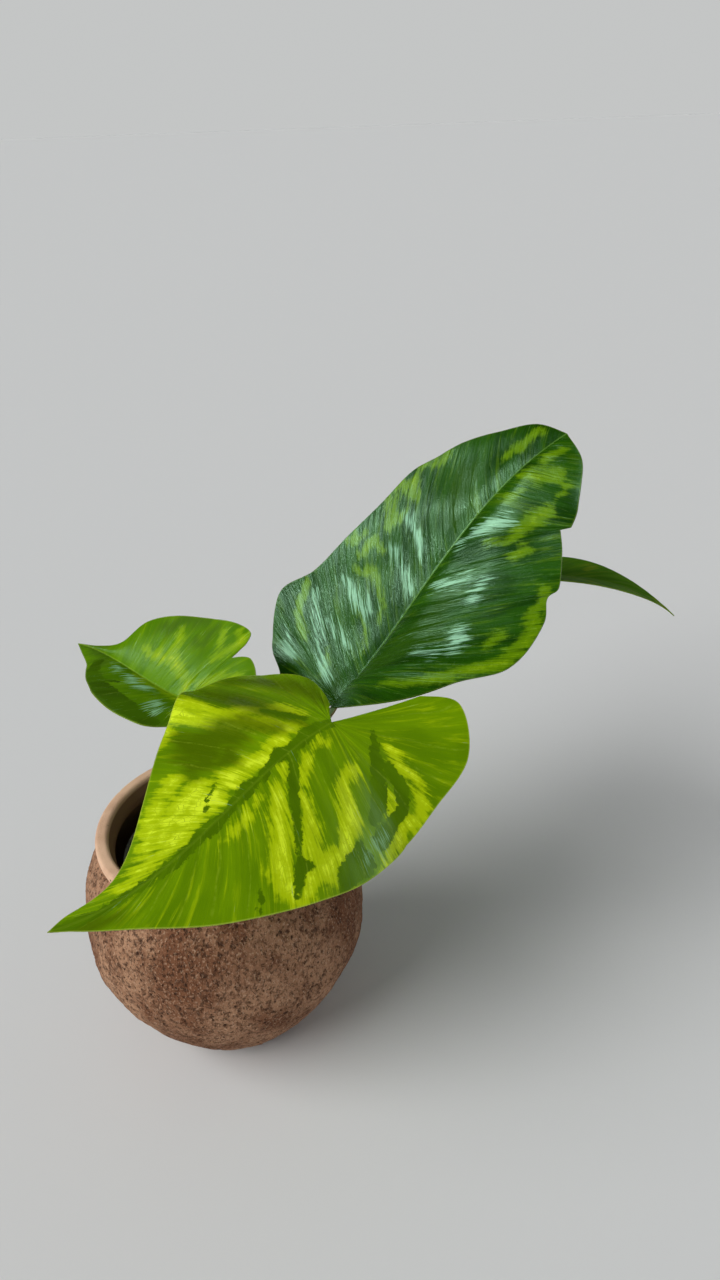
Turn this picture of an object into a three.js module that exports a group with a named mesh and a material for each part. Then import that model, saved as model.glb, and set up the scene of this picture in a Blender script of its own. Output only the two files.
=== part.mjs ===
// A potted jungle star pothos: a round-bellied stoneware pot, a plastic nursery pot inside it,
// soil, one short stem and four heart-shaped leaves on their petioles.
// Millimetres, +Z up. The origin is the centre of the pot's flat foot. -Y is the front.
import * as THREE from 'three';
import { mergeVertices } from 'three/addons/utils/BufferGeometryUtils.js';

// ---- driving dimensions ----
const GAP = 0.3; // clearance between pieces that touch
const POT_SIDES = 48;
const POT_HEIGHT = 118;
const FOOT_RADIUS = 30;
const POT_FLOOR = 7; // thickness of the pot's bottom
const NURSERY_SIDES = 40;
const NURSERY_WALL = 1.2;
const NURSERY_RIM_Z = 101;
const SOIL_SIDES = 40;
const SOIL_TOP = 90;
const STEM_RADIUS = 3.6;
const STEM_BOTTOM = 48; // how deep the stem stands in the soil
const PETIOLE_BASE_RADIUS = 2.2;
const PETIOLE_RADIUS = 1.8;
const PETIOLE_TIP_RADIUS = 1.4;
const BLADE_THICKNESS = 0.8;
const ROWS_PER_SPAN = 2; // blade rows between two outline points
const BLADE_COLUMNS = 6;

// ---- materials ----
function surface(color, roughness) {
  return new THREE.MeshStandardMaterial({ color, roughness, metalness: 0 });
}

const materials = {
  stoneware: surface(0x98705c, 0.85),
  plastic: surface(0x4a4a4a, 0.55),
  soil: surface(0x1d1712, 1.0),
  stem: surface(0x6f7f35, 0.5),
  petiole: surface(0x7c8f3a, 0.45),
  lime: surface(0x86a812, 0.35),
  midGreen: surface(0x4f8a1c, 0.35),
  darkGreen: surface(0x2a5f1c, 0.3),
};

// ---- shared helpers ----
function closed(geometry) {
  geometry.deleteAttribute('normal');
  geometry.deleteAttribute('uv');
  const merged = mergeVertices(geometry, 1e-4);
  merged.computeVertexNormals();
  return merged;
}

function solid(name, geometry, material) {
  const mesh = new THREE.Mesh(geometry, material);
  mesh.name = name;
  return mesh;
}

const radians = THREE.MathUtils.degToRad;
const clamp = THREE.MathUtils.clamp;

// Values given at the base, middle and tip, read along the midrib (q runs from 0 to 1).
function along([base, middle, tip], q) {
  return base * (1 - q) * (1 - 2 * q) + 4 * middle * q * (1 - q) + tip * q * (2 * q - 1);
}

// Turns a half profile of [radius, height] pairs about the vertical axis.
function turned(profile, sides) {
  const points = profile.map(([radius, height]) => new THREE.Vector2(radius, height));
  const geometry = new THREE.LatheGeometry(points, sides);
  geometry.rotateX(Math.PI / 2);
  return closed(geometry);
}

// Samples a smooth curve through [radius, height] pairs.
function smoothProfile(pairs, steps) {
  const curve = new THREE.SplineCurve(pairs.map(([r, z]) => new THREE.Vector2(r, z)));
  return curve.getPoints(steps).map((point) => [point.x, point.y]);
}

// ---- pot ----
function stonewarePot() {
  const belly = smoothProfile(
    [
      [34.5, 4],
      [43.5, 14],
      [55, 32],
      [63, 50],
      [65, 62],
      [64.3, 80],
      [61, 95],
      [56, 105],
      [50, 111.5],
    ],
    18,
  );
  const cavity = smoothProfile(
    [
      [46.2, 109.5],
      [51.5, 103],
      [56.3, 93],
      [59.4, 78],
      [60, 62],
      [56.5, 45],
      [48.5, 28],
      [38.5, 13.5],
      [33, POT_FLOOR],
    ],
    11,
  );
  const profile = [
    [0, 0],
    [FOOT_RADIUS, 0],
    [FOOT_RADIUS + 1, 1],
    [FOOT_RADIUS + 1, 3.4],
    ...belly,
    [51.5, 112],
    [53.4, 112.6],
    [54, 113.8],
    [54, 116.6],
    [53.2, POT_HEIGHT - 0.3],
    [51.5, POT_HEIGHT],
    [49.4, POT_HEIGHT],
    [48.4, POT_HEIGHT - 0.6],
    [48, 115.5],
    ...cavity,
    [0, POT_FLOOR],
  ];
  return solid('pot', turned(profile, POT_SIDES), materials.stoneware);
}

// ---- nursery pot ----
function nurseryPot() {
  const bottom = POT_FLOOR + GAP;
  const profile = [
    [0, bottom],
    [28, bottom],
    [29.5, bottom + 1.5],
    [40.5, NURSERY_RIM_Z - 9],
    [43.6, NURSERY_RIM_Z - 8],
    [44, NURSERY_RIM_Z - 7],
    [44.4, NURSERY_RIM_Z - 0.5],
    [43.8, NURSERY_RIM_Z],
    [43.2, NURSERY_RIM_Z - 0.5],
    [42.6, NURSERY_RIM_Z - 6.4],
    [40.5 - NURSERY_WALL, NURSERY_RIM_Z - 7.4],
    [29.5 - NURSERY_WALL, bottom + NURSERY_WALL + 0.8],
    [27.4, bottom + NURSERY_WALL],
    [0, bottom + NURSERY_WALL],
  ];
  return solid('nursery_pot', turned(profile, NURSERY_SIDES), materials.plastic);
}

// ---- soil ----
// A plug that follows the nursery pot's wall, with a hole for the stem and a crumbly top.
function soilHeight(x, y) {
  const mound = 3.2 * Math.exp(-(x * x + y * y) / 500);
  const clods = Math.sin(0.41 * x + 1.1) * Math.sin(0.37 * y + 0.4) + 0.6 * Math.sin(0.83 * x - 0.71 * y);
  return mound + 0.9 * clods;
}

function soilPlug() {
  const low = POT_FLOOR + 2 * GAP + NURSERY_WALL;
  const hole = STEM_RADIUS + GAP;
  const inner = (height) => THREE.MathUtils.mapLinear(height, low, NURSERY_RIM_Z - 7.4, 28.1, 39.1);
  const profile = [
    [0, low],
    [26.6, low],
    [inner(low + 3) - 0.5, low + 3],
    [inner(SOIL_TOP - 3) - 0.4, SOIL_TOP - 3],
    [inner(SOIL_TOP) - 1.6, SOIL_TOP],
    [33, SOIL_TOP],
    [28, SOIL_TOP],
    [23, SOIL_TOP],
    [18, SOIL_TOP],
    [13, SOIL_TOP],
    [8.5, SOIL_TOP],
    [hole, SOIL_TOP],
    [hole, STEM_BOTTOM - GAP],
    [0, STEM_BOTTOM - GAP],
  ];
  const geometry = turned(profile, SOIL_SIDES);
  const position = geometry.attributes.position;
  for (let i = 0; i < position.count; i += 1) {
    const x = position.getX(i);
    const y = position.getY(i);
    const top = Math.abs(position.getZ(i) - SOIL_TOP) < 1e-3;
    if (top) position.setZ(i, SOIL_TOP + soilHeight(x, y));
  }
  geometry.computeVertexNormals();
  return solid('soil', geometry, materials.soil);
}

// ---- stem and petioles ----
function curveThrough(points) {
  return new THREE.CatmullRomCurve3(points, false, 'centripetal');
}

// Reads a radius from [station, radius] pairs, station running from 0 to 1.
function radiusAt(radii, u) {
  let k = 0;
  while (k < radii.length - 2 && u > radii[k + 1][0]) k += 1;
  const [[u0, r0], [u1, r1]] = [radii[k], radii[k + 1]];
  return THREE.MathUtils.mapLinear(clamp(u, u0, u1), u0, u1, r0, r1);
}

// A round rod swept along a curve, then tapered to the radius of each station.
function rod(curve, radii, sides, steps) {
  const corners = Array.from({ length: sides }, (_, k) => {
    const angle = (2 * Math.PI * k) / sides;
    return new THREE.Vector2(Math.cos(angle), Math.sin(angle));
  });
  const section = new THREE.Shape(corners);
  const geometry = closed(new THREE.ExtrudeGeometry(section, { steps, extrudePath: curve }));
  const centres = curve.getSpacedPoints(steps);
  const position = geometry.attributes.position;
  const point = new THREE.Vector3();
  for (let i = 0; i < position.count; i += 1) {
    point.fromBufferAttribute(position, i);
    const distances = centres.map((centre) => centre.distanceTo(point));
    const ring = distances.indexOf(Math.min(...distances));
    point.sub(centres[ring]).multiplyScalar(radiusAt(radii, ring / steps)).add(centres[ring]);
    position.setXYZ(i, point.x, point.y, point.z);
  }
  geometry.computeVertexNormals();
  return geometry;
}

const stemCurve = curveThrough([
  new THREE.Vector3(0, 0, STEM_BOTTOM),
  new THREE.Vector3(0, 0, 72),
  new THREE.Vector3(0, 0, 96),
  new THREE.Vector3(1, 0.5, 112),
  new THREE.Vector3(3.5, 1.5, 126),
  new THREE.Vector3(7, 2, 138),
  new THREE.Vector3(10, 1.5, 149),
]);

// Thicker rings where the petioles leave, then a pointed young shoot.
const stemRadii = [
  [0, 3.2],
  [0.44, STEM_RADIUS],
  [0.5, 4.2],
  [0.54, STEM_RADIUS - 0.3],
  [0.62, 3.3],
  [0.65, 3.9],
  [0.69, 3.0],
  [0.77, 3.3],
  [0.8, 2.5],
  [0.92, 2.0],
  [1, 0.7],
];

// Each petiole leaves the stem at a station and azimuth, and ends under its blade.
const petioles = {
  front: {
    station: 0.77,
    azimuth: -35,
    path: [
      [22, -8, 158],
      [40, -14.5, 174],
      [55.2, -19.4, 180.2],
    ],
  },
  upper: {
    station: 0.65,
    azimuth: 35,
    path: [
      [28, 18, 137],
      [47, 31, 144],
      [56.3, 37.2, 151.3],
    ],
  },
  left: {
    station: 0.5,
    azimuth: 150,
    path: [
      [-9, 13, 132],
      [-10, 28, 148],
      [-13, 37, 156],
    ],
  },
  right: {
    station: 0.5,
    azimuth: 60,
    path: [
      [36, 37, 138],
      [78, 69, 166],
      [111.2, 93, 182.4],
    ],
  },
};

const petioleRadii = [
  [0, PETIOLE_BASE_RADIUS],
  [0.15, 2.1],
  [0.4, PETIOLE_RADIUS],
  [0.86, PETIOLE_RADIUS - 0.2],
  [0.9, PETIOLE_RADIUS + 0.1],
  [0.98, PETIOLE_TIP_RADIUS],
  [1, 1.0],
];

function stem() {
  return solid('stem', rod(stemCurve, stemRadii, 12, 44), materials.stem);
}

function petiole(key) {
  const { station, azimuth, path } = petioles[key];
  const out = radiusAt(stemRadii, station) + PETIOLE_BASE_RADIUS + 2 * GAP;
  const side = new THREE.Vector3(Math.cos(radians(azimuth)), Math.sin(radians(azimuth)), 0);
  const start = stemCurve.getPointAt(station).addScaledVector(side, out);
  const rising = start.clone().addScaledVector(side, 2.5).add(new THREE.Vector3(0, 0, 9));
  const curve = curveThrough([start, rising, ...path.map((point) => new THREE.Vector3(...point))]);
  return solid(`petiole_${key}`, rod(curve, petioleRadii, 10, 18), materials.petiole);
}

// ---- leaf blades ----
// A blade is drawn flat first. Its outline points are [s, w]: s runs along the midrib from the
// petiole to the tip, w is the distance out from the midrib. A third value of 1 marks a corner.
// The midrib's heading, pitch and roll are given in degrees at its base, middle and tip. Each half
// has a fold angle up from the midrib, a droop in degrees per 100 mm, and a bend of its basal lobe.
// Left and right are as seen from the petiole, looking to the tip.
const leaves = {
  front: {
    base: [56, -20, 182],
    heading: [214, 224, 195],
    pitch: [-8, -18, -3],
    roll: [-28, -30, -20],
    left: {
      fold: [-6, 3, 0],
      droop: [31, 8, 0],
      lobeBend: 28,
      outline: [
        [-38, 10],
        [-50, 22],
        [-41, 42],
        [-19, 51],
        [5, 58],
        [35, 57],
        [57, 48],
        [82, 31],
        [104, 13],
        [122, 3],
        [131, 0],
      ],
    },
    right: {
      fold: [-30, -11, -9],
      droop: [16, 32, 38],
      lobeBend: -170,
      crest: { start: 11, slant: 0.4, height: 13, width: 8.5, reach: 58 },
      outline: [
        [-7, 12],
        [-11, 24],
        [-13, 38],
        [-7, 51],
        [9, 64],
        [30, 58],
        [48, 46],
        [75, 27],
        [102, 9],
        [124, 4],
        [131, 0],
      ],
    },
  },
  upper: {
    base: [57, 38, 153],
    heading: [26, 23, 7],
    pitch: [40, 49, 30],
    roll: [18, 23, 22],
    left: {
      fold: [0, 2, 0],
      droop: [2, 9, 10],
      lobeBend: -60,
      outline: [
        [-14, 8.5],
        [-21, 23],
        [-10, 37],
        [-2, 53],
        [22, 68],
        [43, 57],
        [65, 52],
        [87, 47],
        [106, 45],
        [117, 40],
        [127, 36],
        [135, 31],
        [143, 25],
        [156, 15],
        [163, 0],
      ],
    },
    right: {
      fold: [57, 9, 0],
      droop: [-12, 17, 10],
      lobeBend: -77,
      outline: [
        [-9, 10],
        [-12, 24],
        [-1, 41],
        [19, 51],
        [44, 56],
        [62.5, 65],
        [88, 60],
        [98.5, 53.4],
        [106.5, 53.9],
        [121.5, 44],
        [129.3, 36.3, 1],
        [133.9, 39.2, 1],
        [143, 35.3],
        [160, 19],
        [163, 0],
      ],
    },
  },
  left: {
    base: [-14, 38, 157.5],
    heading: [149, 139, 154],
    pitch: [2, 7, 2],
    roll: [-20, -20, -20],
    left: {
      fold: [37, 31, 10],
      droop: [7, 4, 0],
      lobeBend: -30,
      outline: [
        [-12, 7],
        [-18, 18],
        [-14, 29],
        [-7, 36],
        [3, 36.5],
        [14, 35],
        [29, 30],
        [37, 26],
        [45, 22],
        [52, 17],
        [58, 12],
        [70, 5],
        [77, 0],
      ],
    },
    right: {
      fold: [21, 19, 10],
      droop: [16, 10, 0],
      lobeBend: -30,
      outline: [
        [-22, 12],
        [-28.5, 20.5],
        [-21.5, 29.3],
        [-12.2, 26.2, 1],
        [-15.6, 34.3, 1],
        [-15, 41.5],
        [-3, 43.4],
        [18, 40],
        [36, 33.8],
        [48.5, 24],
        [54, 9],
        [65, 2.5],
        [77, 0],
      ],
    },
  },
  right: {
    base: [113, 94, 184],
    heading: [0, -2, 4],
    pitch: [10, -6, -46],
    roll: [-26, -17, 1],
    left: {
      fold: [4, 12, 0],
      droop: [20, 20, 0],
      lobeBend: -30,
      outline: [
        [-16, 8],
        [-24, 22],
        [-15, 37],
        [4, 44],
        [31, 45],
        [59, 38],
        [82, 27],
        [106, 10],
        [117, 3],
        [126, 0],
      ],
    },
    right: {
      fold: [4, 7, 0],
      droop: [20, 20, 0],
      lobeBend: -30,
      outline: [
        [-16, 8],
        [-24, 22],
        [-15, 37],
        [4, 44],
        [31, 44],
        [59, 37],
        [82, 26],
        [106, 9],
        [117, 3],
        [126, 0],
      ],
    },
  },
};

const FAN = 0.3; // share of the rows that start at the petiole
const FAN_POWER = 1.2;
const VEIN_SWEEP = 0.12;

function bladeLength(leaf) {
  return leaf.left.outline.at(-1)[0];
}

// Local axes of the midrib at s: x along it, y to the left, z up from the blade.
function midribAxes(leaf, s) {
  const q = clamp(s / bladeLength(leaf), 0, 1);
  const heading = radians(along(leaf.heading, q));
  const pitch = radians(along(leaf.pitch, q));
  const roll = radians(along(leaf.roll, q));
  const x = new THREE.Vector3(
    Math.cos(heading) * Math.cos(pitch),
    Math.sin(heading) * Math.cos(pitch),
    Math.sin(pitch),
  );
  const level = new THREE.Vector3(-Math.sin(heading), Math.cos(heading), 0);
  const up = new THREE.Vector3().crossVectors(x, level);
  const y = level.multiplyScalar(Math.cos(roll)).addScaledVector(up, Math.sin(roll));
  const z = new THREE.Vector3().crossVectors(x, y);
  return { x, y, z };
}

// Walks the midrib in short steps from the petiole to s.
function midribPoint(leaf, s) {
  const steps = 80;
  const point = new THREE.Vector3(...leaf.base);
  for (let i = 0; i < steps; i += 1) {
    point.addScaledVector(midribAxes(leaf, (s * (i + 0.5)) / steps).x, s / steps);
  }
  return point;
}

function arcOffsets(angle, bend, width) {
  const k = Math.abs(bend) < 1e-6 ? 1e-6 : bend;
  return {
    across: (Math.sin(angle) - Math.sin(angle - k * width)) / k,
    rise: (Math.cos(angle - k * width) - Math.cos(angle)) / k,
  };
}

// The point in space of the flat blade's point s, w on one half.
function bladePoint(leaf, side, s, w) {
  const half = leaf[side];
  const sign = side === 'left' ? 1 : -1;
  const q = clamp(s / bladeLength(leaf), 0, 1);
  const arc = arcOffsets(radians(along(half.fold, q)), radians(along(half.droop, q)) / 100, w);
  let { rise } = arc;
  if (half.crest) {
    const { start, slant, height, width, reach } = half.crest;
    const off = (s - start - slant * w) / width;
    rise += height * Math.exp(-off * off) * clamp(w / reach, 0, 1.3) ** 1.6;
  }
  const { x, y, z } = midribAxes(leaf, s);
  const point = midribPoint(leaf, Math.max(s, 0));
  const back = arcOffsets(0, -radians(half.lobeBend) / 100, Math.max(-s, 0));
  point.addScaledVector(x, -back.across).addScaledVector(z, back.rise + rise);
  return point.addScaledVector(y, sign * arc.across);
}

// A smooth outline through the given points, with its corners kept.
function outlineCurve(points) {
  const ends = points.length - 1;
  const chord = (i) => Math.hypot(points[i + 1][0] - points[i][0], points[i + 1][1] - points[i][1]);
  const slope = (i) => {
    if (i === 0) return [0.5 * (points[1][0] - points[0][0]), 0.5 * (points[1][1] - points[0][1])];
    if (i === ends) return [0.8 * (points[i][0] - points[i - 1][0]), 0.8 * (points[i][1] - points[i - 1][1])];
    if (points[i][2]) return [0, 0];
    return [0.5 * (points[i + 1][0] - points[i - 1][0]), 0.5 * (points[i + 1][1] - points[i - 1][1])];
  };
  const held = (vector, limit) => {
    const size = Math.hypot(...vector);
    return size > limit ? vector.map((value) => (value * limit) / size) : vector;
  };
  return (i, u) => {
    if (i >= ends) return [points[ends][0], points[ends][1]];
    const limit = 1.2 * chord(i);
    const a = held(slope(i), limit);
    const b = held(slope(i + 1), limit);
    const h00 = 2 * u ** 3 - 3 * u ** 2 + 1;
    const h10 = u ** 3 - 2 * u ** 2 + u;
    const h01 = -2 * u ** 3 + 3 * u ** 2;
    const h11 = u ** 3 - u ** 2;
    return [0, 1].map((k) => h00 * points[i][k] + h10 * a[k] + h01 * points[i + 1][k] + h11 * b[k]);
  };
}

// Closes a sheet of triangles into a blade of even thickness, split alike on both faces.
function thickened(points, triangles, thickness) {
  const normals = points.map(() => new THREE.Vector3());
  const edges = new Map();
  for (const triangle of triangles) {
    const [a, b, c] = triangle.map((i) => points[i]);
    const normal = b.clone().sub(a).cross(c.clone().sub(a));
    triangle.forEach((i) => normals[i].add(normal));
    for (let k = 0; k < 3; k += 1) {
      const from = triangle[k];
      const to = triangle[(k + 1) % 3];
      if (edges.has(`${to},${from}`)) edges.delete(`${to},${from}`);
      else edges.set(`${from},${to}`, [from, to]);
    }
  }
  const count = points.length;
  const lower = points.map((point, i) => point.clone().addScaledVector(normals[i].normalize(), -thickness));
  const index = [];
  for (const [a, b, c] of triangles) index.push(a, b, c, a + count, c + count, b + count);
  for (const [from, to] of edges.values()) {
    index.push(from, from + count, to + count, from, to + count, to);
  }
  const geometry = new THREE.BufferGeometry();
  const position = [...points, ...lower].flatMap((point) => point.toArray());
  geometry.setAttribute('position', new THREE.Float32BufferAttribute(position, 3));
  geometry.setIndex(index);
  geometry.computeVertexNormals();
  return geometry;
}

function leafBlade(key, material) {
  const leaf = leaves[key];
  const length = bladeLength(leaf);
  const spans = leaf.left.outline.length - 1;
  const rows = spans * ROWS_PER_SPAN;
  const points = [];
  const triangles = [];
  const addPoint = (point) => points.push(point) - 1;
  const root = (i) => length * clamp((i / rows - FAN) / (1 - FAN), 0, 1) ** FAN_POWER;
  const midrib = [];
  for (let i = 0; i <= rows; i += 1) {
    const fanned = i > 0 && root(i) === root(i - 1);
    midrib.push(fanned ? midrib[i - 1] : addPoint(bladePoint(leaf, 'left', root(i), 0)));
  }
  for (const side of ['left', 'right']) {
    const outline = outlineCurve(leaf[side].outline);
    const grid = [];
    for (let i = 0; i <= rows; i += 1) {
      const [s, w] = outline(Math.floor(i / ROWS_PER_SPAN), (i % ROWS_PER_SPAN) / ROWS_PER_SPAN);
      const row = [midrib[i]];
      for (let j = 1; j <= BLADE_COLUMNS; j += 1) {
        const u = j / BLADE_COLUMNS;
        const sweep = VEIN_SWEEP * clamp(s / w, -1, 1) * w;
        const bow = 2 * u * (1 - u) * (0.5 * (root(i) + s) - sweep);
        const station = (1 - u) ** 2 * root(i) + bow + u ** 2 * s;
        row.push(i === rows ? midrib[i] : addPoint(bladePoint(leaf, side, station, u * w)));
      }
      grid.push(row);
    }
    for (let i = 0; i < rows; i += 1) {
      for (let j = 0; j < BLADE_COLUMNS; j += 1) {
        const quad = [grid[i][j], grid[i][j + 1], grid[i + 1][j + 1], grid[i + 1][j]];
        const halves = [
          [quad[0], quad[1], quad[2]],
          [quad[0], quad[2], quad[3]],
        ];
        for (const [a, b, c] of halves) {
          if (a === b || b === c || a === c) continue;
          triangles.push(side === 'left' ? [a, c, b] : [a, b, c]);
        }
      }
    }
  }
  return solid(`leaf_${key}`, thickened(points, triangles, BLADE_THICKNESS), material);
}

// ---- assembly ----
const plant = new THREE.Group();
plant.name = 'potted_jungle_star_pothos';
plant.add(stonewarePot(), nurseryPot(), soilPlug(), stem());
for (const key of Object.keys(petioles)) plant.add(petiole(key));
plant.add(leafBlade('front', materials.lime));
plant.add(leafBlade('upper', materials.darkGreen));
plant.add(leafBlade('left', materials.midGreen));
plant.add(leafBlade('right', materials.darkGreen));

export default plant;
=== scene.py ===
"""Looks of a potted jungle star pothos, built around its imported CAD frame.

Lengths that follow the CAD are in millimetres until a mesh is made; Blender's own are in metres.
"""
import math

import bmesh
import bpy
import numpy as np
from mathutils import Matrix, Vector


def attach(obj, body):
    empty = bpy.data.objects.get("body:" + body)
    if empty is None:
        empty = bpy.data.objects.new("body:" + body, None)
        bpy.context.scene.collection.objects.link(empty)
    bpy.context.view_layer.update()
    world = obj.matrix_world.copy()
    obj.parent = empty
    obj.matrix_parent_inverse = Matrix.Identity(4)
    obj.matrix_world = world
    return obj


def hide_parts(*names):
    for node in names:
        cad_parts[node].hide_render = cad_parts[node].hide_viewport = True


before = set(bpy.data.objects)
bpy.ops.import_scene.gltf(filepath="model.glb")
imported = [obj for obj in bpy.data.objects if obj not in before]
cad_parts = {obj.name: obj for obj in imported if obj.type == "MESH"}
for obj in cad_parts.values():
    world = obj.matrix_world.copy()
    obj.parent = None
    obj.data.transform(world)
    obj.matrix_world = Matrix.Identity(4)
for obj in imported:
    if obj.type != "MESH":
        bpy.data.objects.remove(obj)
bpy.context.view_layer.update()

MM = 0.001
TINY = 1e-9  # keeps a divisor above zero


def linked(name, data):
    """A new object in the scene."""
    thing = bpy.data.objects.new(name, data)
    bpy.context.scene.collection.objects.link(thing)
    return thing


# Camera, in the frame of the photograph
CAMERA_PLACE = (0.0686, -0.3275, 0.3942)
CAMERA_PITCH = 29.6  # degrees down
CAMERA_ROLL = -2.1
CAMERA_LENS = 26.0
CAMERA_CLIP = (0.01, 50)


def make_camera():
    pitch, roll = math.radians(CAMERA_PITCH), math.radians(CAMERA_ROLL)
    forward = Vector((0, math.cos(pitch), -math.sin(pitch)))
    side = Vector((1, 0, 0))
    up = side.cross(forward)
    right = side * math.cos(roll) + up * math.sin(roll)
    top = up * math.cos(roll) - side * math.sin(roll)
    data = bpy.data.cameras.new("camera")
    data.lens = CAMERA_LENS
    data.clip_start, data.clip_end = CAMERA_CLIP
    camera = linked("camera", data)
    turn = Matrix((right, top, -forward)).transposed().to_4x4()
    camera.matrix_world = Matrix.Translation(CAMERA_PLACE) @ turn
    bpy.context.scene.camera = camera


# Node graphs
def rgba(colour):
    """A colour given as a tuple of sRGB 0-255, turned to linear. Anything else stays as it is."""
    if not isinstance(colour, tuple):
        return colour

    def linear(v):
        v /= 255
        return v / 12.92 if v <= 0.04045 else ((v + 0.055) / 1.055) ** 2.4

    return (*[linear(v) for v in colour], 1.0)


class Graph:
    """A small builder for the nodes of a material or a world. Noises run from 0 to 1, and step and
    fade take their levels. Scales are features for each metre, or for each cm on a leaf."""

    def __init__(self, name, store=bpy.data.materials):
        self.owner = store.new(name)
        self.owner.use_nodes = True
        self.nodes = self.owner.node_tree.nodes
        self.links = self.owner.node_tree.links

    def put(self, value, socket):
        if isinstance(value, bpy.types.NodeSocket):
            self.links.new(value, socket)
        elif value is not None:
            socket.default_value = value

    def node(self, kind, inputs, **settings):
        """A new node. inputs holds a value or another node's output for each input's name or place."""
        node = self.nodes.new("ShaderNode" + kind)
        for name, setting in settings.items():
            setattr(node, name, setting)
        for key, value in inputs.items():
            self.put(value, node.inputs[key])
        return node

    def math(self, operation, *values):
        return self.node("Math", dict(enumerate(values)), operation=operation).outputs[0]

    def add(self, a, b):
        return self.math("ADD", a, b)

    def times(self, a, b):
        return self.math("MULTIPLY", a, b)

    def centred(self, noise, size):
        """The noise turned to one of this size about 0."""
        return self.times(self.math("SUBTRACT", noise, 0.5), size)

    def step(self, value, low, high):
        """0 below low, 1 above high, smooth between."""
        ends = {"Value": value, "From Min": low, "From Max": high}
        return self.node("MapRange", ends, interpolation_type="SMOOTHSTEP").outputs["Result"]

    def fade(self, value, low, high):
        """1 below low, 0 above high."""
        return self.math("SUBTRACT", 1.0, self.step(value, low, high))

    def mix(self, share, a, b):
        return self.node("Mix", {"Factor": share, 6: rgba(a), 7: rgba(b)}, data_type="RGBA").outputs[2]

    def uv(self, name):
        return self.node("UVMap", {}, uv_map=name).outputs["UV"]

    def place(self, kind="Object"):
        return self.node("TexCoord", {}).outputs[kind]

    def attribute(self, name):
        """The four values that store() has kept."""
        kept = self.node("Attribute", {}, attribute_name=name).outputs
        return (*self.node("SeparateColor", {0: kept["Color"]}).outputs, kept["Alpha"])

    def parts(self, vector):
        return self.node("SeparateXYZ", {0: vector}).outputs

    def stretched(self, vector, scale, shift=(0, 0, 0)):
        return self.node("Mapping", {"Vector": vector, "Scale": scale, "Location": shift}).outputs[0]

    def noise(self, vector, scale, detail, roughness=0.55, distortion=0.0):
        look = {"Scale": scale, "Detail": detail, "Roughness": roughness, "Distortion": distortion}
        return self.node("TexNoise", {"Vector": vector, **look}).outputs[0]

    def cells(self, vector, scale, feature="F1"):
        inputs = {"Vector": vector, "Scale": scale}
        return self.node("TexVoronoi", inputs, feature=feature).outputs["Distance"]

    def bump(self, height, strength, distance, under=None):
        inputs = {"Strength": strength, "Distance": distance, "Height": height, "Normal": under}
        return self.node("Bump", inputs).outputs[0]

    def finish(self, colour, roughness, normal=None, **values):
        inputs = {"Base Color": rgba(colour), "Roughness": roughness, "Normal": normal, **values}
        for name, value in inputs.items():
            self.put(value, self.nodes["Principled BSDF"].inputs[name.replace("_", " ")])
        return self.owner


# Noise for shapes
HASH_PRIMES = (374761393, 668265263, 2246822519)
HASH_MIXER = 1274126177
HASH_TOP = 0xFFFFFFFF  # the largest 32-bit number
PIT_RADIUS = (0.2, 0.3)  # the least, and how much more it may be, in cells


def hashed(cell, seed):
    """A repeatable random number from 0 to 1 for each whole-number cell."""
    mask = np.uint64(HASH_TOP)
    value = np.full(cell.shape[:-1], seed * 7919 + 17, np.uint64)
    for k, prime in enumerate(HASH_PRIMES):
        part = (cell[..., k].astype(np.int64) & HASH_TOP).astype(np.uint64)
        value = (value + part * np.uint64(prime)) & mask
        value = ((value ^ (value >> np.uint64(13))) * np.uint64(HASH_MIXER)) & mask
    return (value ^ (value >> np.uint64(16))).astype(float) / HASH_TOP


def cloud(points, size, seed):
    """Smooth noise from -1 to 1 with features of the given size."""
    scaled = points / size
    base = np.floor(scaled)
    share = scaled - base
    share = share * share * (3 - 2 * share)
    total = np.zeros(points.shape[:-1])
    for corner in np.ndindex(2, 2, 2):
        weight = np.prod(np.where(np.array(corner), share, 1 - share), axis=-1)
        total += weight * hashed(base + np.array(corner), seed)
    return 2 * total - 1


def clouds(points, layers, seed):
    """Smooth noise added up from layers of (strength, size)."""
    return sum(strength * cloud(points, size, seed + k) for k, (strength, size) in enumerate(layers))


def pits(points, size, seed, chance):
    """Round hollows, 0 outside and 1 at the bottom, at most one for each cell."""
    base = np.floor(points / size)
    deepest = np.zeros(points.shape[:-1])
    least, more = PIT_RADIUS
    for corner in np.ndindex(3, 3, 3):
        cell = base + np.array(corner) - 1
        centre = np.stack([hashed(cell, seed + k) for k in range(3)], -1)
        radius = least + more * hashed(cell, seed + 3)
        distance = np.linalg.norm(points / size - cell - centre, axis=-1) / radius
        there = hashed(cell, seed + 4) < chance
        deepest = np.maximum(deepest, np.where(there, np.clip(1 - distance**2, 0, 1), 0))
    return deepest


# Meshes
def new_mesh(name, points, faces):
    mesh = bpy.data.meshes.new(name)
    mesh.from_pydata([tuple(p) for p in np.reshape(points, (-1, 3)) * MM], [], faces)
    return mesh


def new_piece(mesh, material, node):
    """A smooth piece that stands for a CAD node, named as its mesh."""
    mesh.polygons.foreach_set("use_smooth", [True] * len(mesh.polygons))
    mesh.materials.append(material)
    piece = linked(mesh.name, mesh)
    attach(piece, "root")
    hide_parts(node)
    return piece


def store(mesh, name, domain, values):
    """Keeps four values for each point or corner of a mesh, for its material."""
    layer = mesh.color_attributes.new(name, "FLOAT_COLOR", domain)
    layer.data.foreach_set("color", np.stack(values, -1).ravel())


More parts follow.
